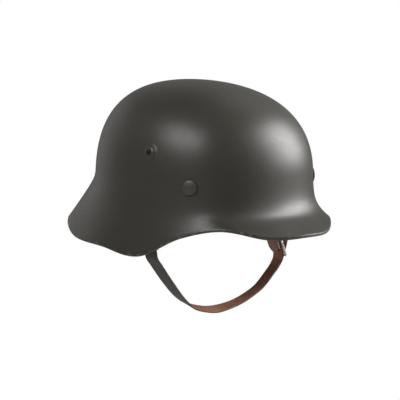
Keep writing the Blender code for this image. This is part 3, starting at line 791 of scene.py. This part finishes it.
def buckle(steel):
    """A rectangular wire frame: from one round section its sides are extruded and its corners spun."""
    half_width = STRAP_WIDTH / 2 + BUCKLE_SIDE_ROOM + BUCKLE_WIRE / 2
    across, up = half_width - BUCKLE_CORNER, bar_reach() - BUCKLE_CORNER
    corners = ((across, 0, up), (-across, 0, up), (-across, 0, -up), (across, 0, -up), None)
    heading = Vector((0, 0, 1))
    mesh = bmesh.new()
    bmesh.ops.create_circle(mesh, segments=WIRE_STEPS, radius=BUCKLE_WIRE / 2,
                            matrix=Matrix.Translation((half_width, 0, 0)))
    ring = mesh.edges[:]
    for length, corner in zip((up, 2 * across, 2 * up, 2 * across, up), corners):
        made = bmesh.ops.extrude_edge_only(mesh, edges=ring)["geom"]
        tip = [part for part in made if isinstance(part, bmesh.types.BMVert)]
        bmesh.ops.translate(mesh, verts=tip, vec=heading * length)
        ring = [edge for edge in mesh.edges if all(vert in tip for vert in edge.verts)]
        if corner:
            made = bmesh.ops.spin(mesh, geom=tip + ring, cent=corner, axis=(0, -1, 0),
                                  angle=math.pi / 2, steps=WIRE_BEND_STEPS)["geom_last"]
            ring = [part for part in made if isinstance(part, bmesh.types.BMEdge)]
            heading = Vector((-heading.z, 0, heading.x))
    bmesh.ops.remove_doubles(mesh, verts=mesh.verts, dist=MERGE_DISTANCE)
    bmesh.ops.transform(mesh, matrix=buckle_frame(), verts=mesh.verts)
    finish_piece("buckle_wire", mesh, [steel], ["buckle"])


def prong(steel):
    """A flat steel tongue with rounded edges, curled round the upper bar and tapered at its tip."""
    radius = prong_height()
    upper = Vector((0, 0, bar_reach()))
    turns = [math.radians(degrees) for degrees in PRONG_CURL]
    points = [upper + Vector((0, math.sin(a), math.cos(a))) * radius for a in turns]
    points += [Vector((0, radius, 0)), Vector((0, radius, -bar_reach() - BUCKLE_WIRE / 2))]
    place = buckle_frame()
    route = Route([(place @ p, place.to_3x3() @ X_AXIS) for p in points])
    mesh = bmesh.new()
    size = (route.length, PRONG_WIDTH, PRONG_THICKNESS, 1)
    bmesh.ops.create_cube(mesh, size=1, matrix=Matrix.Diagonal(size))
    bmesh.ops.translate(mesh, verts=mesh.verts, vec=(route.length / 2, 0, 0))
    bmesh.ops.bevel(mesh, geom=mesh.edges[:], offset=PRONG_BEVEL, segments=BEVEL_STEPS, profile=0.5,
                    affect="EDGES", material=-1)
    bmesh.ops.subdivide_edges(mesh, edges=lengthwise_edges(mesh, route.length), cuts=PRONG_CUTS,
                              use_grid_fill=True)
    for vert in sorted(mesh.verts, key=lambda v: v.co.x):
        along, across, height = vert.co
        at, ahead, wide, thick = route.axes(along)
        taper = smooth_step(along, route.length - PRONG_TAPER_LENGTH, route.length)
        across *= 1 - (1 - PRONG_TIP_SHARE) * taper
        vert.co = at + wide * across + thick * height
    finish_piece("buckle_tongue", mesh, [steel], ["buckle_prong"])


# Finishes


def new_material(name, roughness, metallic=0.0, specular=0.5):
    """A material with its even values set on the shader, and the place on the object that it reads."""
    material = bpy.data.materials.new(name)
    material.use_nodes = True
    tree = material.node_tree
    shader = tree.nodes["Principled BSDF"]
    shader.inputs["Roughness"].default_value = roughness
    shader.inputs["Metallic"].default_value = metallic
    shader.inputs["Specular IOR Level"].default_value = specular
    return material, tree, shader, node(tree, "ShaderNodeTexCoord")


def node(tree, kind, **settings):
    """A new node of a kind, with its settings."""
    made = tree.nodes.new(kind)
    for key, value in settings.items():
        setattr(made, key, value)
    return made


def new_group(name, inputs, outputs):
    """An effect's node group. An input is a label, a kind of socket and its usual value."""
    group = bpy.data.node_groups.new(name, "ShaderNodeTree")
    for label, kind, value in inputs:
        socket = group.interface.new_socket(name=label, in_out="INPUT", socket_type=kind)
        if value is not None:
            socket.default_value = value
    for label, kind in outputs:
        group.interface.new_socket(name=label, in_out="OUTPUT", socket_type=kind)
    return group, node(group, "NodeGroupInput"), node(group, "NodeGroupOutput")


def placed(tree, group, place, **values):
    """An effect put into a material, reading a place on the object, with its own values."""
    made = node(tree, "ShaderNodeGroup", node_tree=group)
    tree.links.new(place, made.inputs["Place"])
    for label, value in values.items():
        made.inputs[label].default_value = value
    return made


FLOAT = "NodeSocketFloat"
VECTOR = "NodeSocketVector"
GRAIN_LIMITS = (0.3, 0.7)


def noise_mask(group, given, low, high):
    """Noise by the group's Place, Scale and Detail, spread from 0 to 1 between two limits."""
    noise = node(group, "ShaderNodeTexNoise")
    for label, socket in (("Place", "Vector"), ("Scale", "Scale"), ("Detail", "Detail")):
        group.links.new(given.outputs[label], noise.inputs[socket])
    spread = node(group, "ShaderNodeMapRange")
    group.links.new(noise.outputs["Fac"], spread.inputs["Value"])
    for limit, socket in ((low, "From Min"), (high, "From Max")):
        if isinstance(limit, str):
            group.links.new(given.outputs[limit], spread.inputs[socket])
        else:
            spread.inputs[socket].default_value = limit
    return spread.outputs["Result"]


def mottle_group():
    """Soft patches or specks, as a mask that runs up to Amount."""
    inputs = (("Place", VECTOR, None), ("Scale", FLOAT, 100), ("Detail", FLOAT, 4),
              ("Low", FLOAT, 0.35), ("High", FLOAT, 0.7), ("Amount", FLOAT, 1))
    group, given, result = new_group("mottle", inputs, (("Mask", FLOAT),))
    amount = node(group, "ShaderNodeMath", operation="MULTIPLY")
    group.links.new(noise_mask(group, given, "Low", "High"), amount.inputs[0])
    group.links.new(given.outputs["Amount"], amount.inputs[1])
    group.links.new(amount.outputs["Value"], result.inputs["Mask"])
    return group


def grain_group():
    """Fine grain: the roughness it gives, between two values, and its relief."""
    inputs = (("Place", VECTOR, None), ("Scale", FLOAT, 1000), ("Detail", FLOAT, 3),
              ("Smooth", FLOAT, 0.4), ("Rough", FLOAT, 0.6), ("Strength", FLOAT, 0.2),
              ("Depth", FLOAT, 0.0003))
    group, given, result = new_group("grain", inputs, (("Roughness", FLOAT), ("Normal", VECTOR)))
    mask = noise_mask(group, given, *GRAIN_LIMITS)
    rough = node(group, "ShaderNodeMapRange")
    group.links.new(mask, rough.inputs["Value"])
    group.links.new(given.outputs["Smooth"], rough.inputs["To Min"])
    group.links.new(given.outputs["Rough"], rough.inputs["To Max"])
    relief = node(group, "ShaderNodeBump")
    group.links.new(mask, relief.inputs["Height"])
    group.links.new(given.outputs["Strength"], relief.inputs["Strength"])
    group.links.new(given.outputs["Depth"], relief.inputs["Distance"])
    group.links.new(rough.outputs["Result"], result.inputs["Roughness"])
    group.links.new(relief.outputs["Normal"], result.inputs["Normal"])
    return group


def mix_colour(tree, mask, first, second):
    """Blends two colours, the first a plain colour or a socket, by a mask."""
    made = node(tree, "ShaderNodeMix", data_type="RGBA")
    tree.links.new(mask, made.inputs["Factor"])
    if isinstance(first, tuple):
        made.inputs["A"].default_value = (*first, 1)
    else:
        tree.links.new(first, made.inputs["A"])
    made.inputs["B"].default_value = (*second, 1)
    return made.outputs["Result"]


def add_grain(tree, shader, place, **values):
    """Gives a material the roughness and relief of fine grain."""
    grain = placed(tree, GROUPS["grain"], place, **values)
    tree.links.new(grain.outputs["Roughness"], shader.inputs["Roughness"])
    tree.links.new(grain.outputs["Normal"], shader.inputs["Normal"])


PAINTS = {
    "shell": dict(fresh=(0.031, 0.028, 0.022), dusty=(0.037, 0.033, 0.026)),
    "rivet": dict(fresh=(0.043, 0.038, 0.030), dusty=(0.055, 0.049, 0.039)),
}
PAINT_ROUGHNESS = 0.42
PAINT_SPECK = (0.10, 0.095, 0.085)
BARE_RIM = (0.11, 0.10, 0.085)


def satin_paint(use):
    """Satin dark grey paint, faintly uneven, rubbed through here and there at the rim."""
    row = PAINTS[use]
    material, tree, shader, coordinates = new_material(f"satin_{use}_paint", PAINT_ROUGHNESS)
    place = coordinates.outputs["Object"]
    cloud = placed(tree, GROUPS["mottle"], place, Scale=14, Detail=3)
    speck = placed(tree, GROUPS["mottle"], place, Scale=900, Detail=2, Low=0.66, High=0.74, Amount=0.3)
    chip = placed(tree, GROUPS["mottle"], place, Scale=260, Detail=5, Low=0.56, High=0.66, Amount=0.9)
    colour = mix_colour(tree, cloud.outputs["Mask"], row["fresh"], row["dusty"])
    colour = mix_colour(tree, speck.outputs["Mask"], colour, PAINT_SPECK)
    wear = node(tree, "ShaderNodeAttribute", attribute_name="wear")
    rubbed = node(tree, "ShaderNodeMath", operation="MULTIPLY")
    tree.links.new(wear.outputs["Fac"], rubbed.inputs[0])
    tree.links.new(chip.outputs["Mask"], rubbed.inputs[1])
    colour = mix_colour(tree, rubbed.outputs["Value"], colour, BARE_RIM)
    tree.links.new(colour, shader.inputs["Base Color"])
    add_grain(tree, shader, place, Scale=420, Smooth=0.38, Rough=0.47, Strength=0.06, Depth=0.0003)
    return material


CREASE_STRETCH = (700, 90, 1)
STRAP_FACES = {
    "blackened": dict(fresh=(0.030, 0.026, 0.024), worn=(0.060, 0.050, 0.044),
                      smooth=0.42, rough=0.60, specular=0.5, creased=0.35),
    "brown": dict(fresh=(0.36, 0.165, 0.092), worn=(0.25, 0.105, 0.056),
                  smooth=0.55, rough=0.68, specular=0.35, creased=0.25),
    "russet": dict(fresh=(0.27, 0.150, 0.110), worn=(0.13, 0.070, 0.052),
                   smooth=0.50, rough=0.70, specular=0.4, creased=0.40),
    "cut_edge": dict(fresh=(0.060, 0.038, 0.032), worn=(0.15, 0.09, 0.07),
                     smooth=0.55, rough=0.70, specular=0.4, creased=0.0),
}


def strap_leather(face):
    """One face of the strap leather: patchy, finely grained, and creased across the strap."""
    row = STRAP_FACES[face]
    material, tree, shader, coordinates = new_material(f"{face}_leather", row["rough"],
                                                       specular=row["specular"])
    place = coordinates.outputs["Object"]
    stretch = node(tree, "ShaderNodeMapping")
    stretch.inputs["Scale"].default_value = CREASE_STRETCH
    tree.links.new(coordinates.outputs["UV"], stretch.inputs["Vector"])
    patches = placed(tree, GROUPS["mottle"], place, Scale=45, Detail=2, Low=0.35, High=0.75)
    creases = placed(tree, GROUPS["mottle"], stretch.outputs["Vector"], Scale=1, Detail=3,
                     Low=0.55, High=0.70, Amount=row["creased"])
    colour = mix_colour(tree, patches.outputs["Mask"], row["fresh"], row["worn"])
    colour = mix_colour(tree, creases.outputs["Mask"], colour, row["worn"])
    tree.links.new(colour, shader.inputs["Base Color"])
    add_grain(tree, shader, place, Scale=1500, Smooth=row["smooth"], Rough=row["rough"],
              Strength=0.06, Depth=0.0002)
    return material


STEELS = {
    "buckle": dict(bright=(0.66, 0.61, 0.55), dull=(0.40, 0.35, 0.30), smooth=0.28, rough=0.44),
    "band": dict(bright=(0.46, 0.44, 0.41), dull=(0.33, 0.31, 0.28), smooth=0.42, rough=0.56),
}


def dull_steel(use):
    """Bare steel, dulled in patches and finely scratched."""
    row = STEELS[use]
    material, tree, shader, coordinates = new_material(f"dull_{use}_steel", row["rough"], metallic=1.0)
    place = coordinates.outputs["Object"]
    patches = placed(tree, GROUPS["mottle"], place, Scale=300, Detail=5)
    colour = mix_colour(tree, patches.outputs["Mask"], row["bright"], row["dull"])
    tree.links.new(colour, shader.inputs["Base Color"])
    add_grain(tree, shader, place, Scale=1600, Detail=2, Smooth=row["smooth"], Rough=row["rough"],
              Strength=0.15, Depth=0.0002)
    return material


# Stage


FLOOR_HEIGHT = -0.42
FLOOR_SIZE = 30
FLOOR_SHADE = (0.5, 0.5, 0.5, 1)
FLOOR_ROUGHNESS = 0.9
WHITE = (1, 1, 1, 1)
SURROUND = 0.13


def mix_shaders(tree, factor, first, second, output):
    """Sends a blend of two shaders to an output."""
    made = node(tree, "ShaderNodeMixShader")
    tree.links.new(factor, made.inputs["Fac"])
    tree.links.new(first.outputs[0], made.inputs[1])
    tree.links.new(second.outputs[0], made.inputs[2])
    tree.links.new(made.outputs["Shader"], output.inputs["Surface"])
    return made


def pale_stage():
    """A floor that shows plain white, or nothing from below, and lends the helmet a little light."""
    material, tree, shader, _ = new_material("pale_stage", FLOOR_ROUGHNESS)
    shader.inputs["Base Color"].default_value = FLOOR_SHADE
    glow = node(tree, "ShaderNodeEmission")
    glow.inputs["Color"].default_value = WHITE
    lit = mix_shaders(tree, node(tree, "ShaderNodeLightPath").outputs["Is Camera Ray"], shader, glow,
                      tree.nodes["Material Output"])
    below = node(tree, "ShaderNodeNewGeometry").outputs["Backfacing"]
    unseen = node(tree, "ShaderNodeBsdfTransparent")
    mix_shaders(tree, below, lit, unseen, tree.nodes["Material Output"])
    return material


def stage_floor():
    mesh = bmesh.new()
    bmesh.ops.create_grid(mesh, x_segments=1, y_segments=1, size=FLOOR_SIZE)
    bmesh.ops.translate(mesh, verts=mesh.verts, vec=(0, 0, FLOOR_HEIGHT))
    data = mesh_data("stage_floor", mesh)
    data.materials.append(pale_stage())
    floor = add_object("stage_floor", data)


def camera_axes():
    """The camera's directions: right, up and back from the helmet."""
    azimuth, elevation = math.radians(CAMERA_AZIMUTH), math.radians(CAMERA_ELEVATION)
    level = math.cos(elevation)
    back = Vector((math.cos(azimuth) * level, -math.sin(azimuth) * level, math.sin(elevation)))
    right = Z_AXIS.cross(back).normalized()
    return right, back.cross(right), back


def look(holder, place, target):
    """Puts a camera or lamp in its place and turns it to a target."""
    turn = (target - place).to_track_quat("-Z", "Y")
    holder.matrix_world = Matrix.Translation(place) @ turn.to_matrix().to_4x4()


def add_camera():
    right, up, back = camera_axes()
    data = bpy.data.cameras.new("camera")
    data.lens = CAMERA_LENS
    data.sensor_width = CAMERA_SENSOR
    data.clip_end = CAMERA_REACH
    camera = add_object("camera", data)
    aim = CAMERA_CENTRE - right * AIM_LEFT - up * AIM_DOWN
    look(camera, CAMERA_CENTRE + back * CAMERA_DISTANCE, aim)
    bpy.context.scene.camera = camera


# Soft boxes: how far right of, above and in front of the helmet each stands, and its size, in metres
LIGHTS = (
    dict(name="key", right=1.42, up=0.57, front=-0.36, width=0.78, height=0.98, power=37),
    dict(name="second", right=-0.69, up=1.13, front=0.825, width=1.15, height=0.66, power=17.2),
    dict(name="crown", right=0.75, up=1.6, front=-1.2, width=1.1, height=0.9, power=1.6),
    dict(name="back", right=0.2, up=1.0, front=-2.2, width=2.4, height=1.6, power=2.2),
    dict(name="left", right=-1.45, up=0.2, front=-1.65, width=1.4, height=1.8, power=4),
    dict(name="fill", right=-0.7, up=-0.15, front=2.3, width=2.2, height=1.2, power=14.5,
         glossy=False),
)


def add_lights():
    right, _, back = camera_axes()
    level = Vector((back.x, back.y, 0)).normalized()
    for row in LIGHTS:
        data = bpy.data.lights.new(row["name"], "AREA")
        data.shape = "RECTANGLE"
        data.size = row["width"]
        data.size_y = row["height"]
        data.energy = row["power"]
        lamp = add_object(row["name"], data)
        place = CAMERA_CENTRE + right * row["right"] + Z_AXIS * row["up"] + level * row["front"]
        look(lamp, place, CAMERA_CENTRE)
        lamp.visible_glossy = row.get("glossy", True)


def pale_world():
    """A surround that the camera sees as white, and that lights the helmet only dimly."""
    world = bpy.data.worlds.new("pale_world")
    bpy.context.scene.world = world
    world.use_nodes = True
    tree = world.node_tree
    dim = tree.nodes["Background"]
    dim.inputs["Color"].default_value = WHITE
    dim.inputs["Strength"].default_value = SURROUND
    seen = node(tree, "ShaderNodeBackground")
    seen.inputs["Color"].default_value = WHITE
    mix_shaders(tree, node(tree, "ShaderNodeLightPath").outputs["Is Camera Ray"], dim, seen,
                tree.nodes["World Output"])


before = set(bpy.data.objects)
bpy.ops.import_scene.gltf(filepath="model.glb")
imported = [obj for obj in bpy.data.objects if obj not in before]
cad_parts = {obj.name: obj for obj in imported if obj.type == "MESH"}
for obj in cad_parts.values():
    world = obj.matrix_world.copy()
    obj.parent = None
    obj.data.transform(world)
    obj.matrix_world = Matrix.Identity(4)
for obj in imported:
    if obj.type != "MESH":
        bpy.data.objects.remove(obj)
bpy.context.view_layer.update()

GROUPS = {"mottle": mottle_group(), "grain": grain_group()}
rivet_paint = satin_paint("rivet")
brown, cut_edge = strap_leather("brown"), strap_leather("cut_edge")
buckle_steel = dull_steel("buckle")

helmet_shell(satin_paint("shell"))
for spot in RIVET_SPOTS:
    rivet(spot, rivet_paint)
strap_band(dull_steel("band"))
chin_strap([strap_leather("blackened"), brown, cut_edge])
buckle_strap([strap_leather("russet"), brown, cut_edge])
buckle(buckle_steel)
prong(buckle_steel)

stage_floor()
add_lights()
pale_world()
add_camera()
bpy.context.scene.view_settings.view_transform = "Standard"
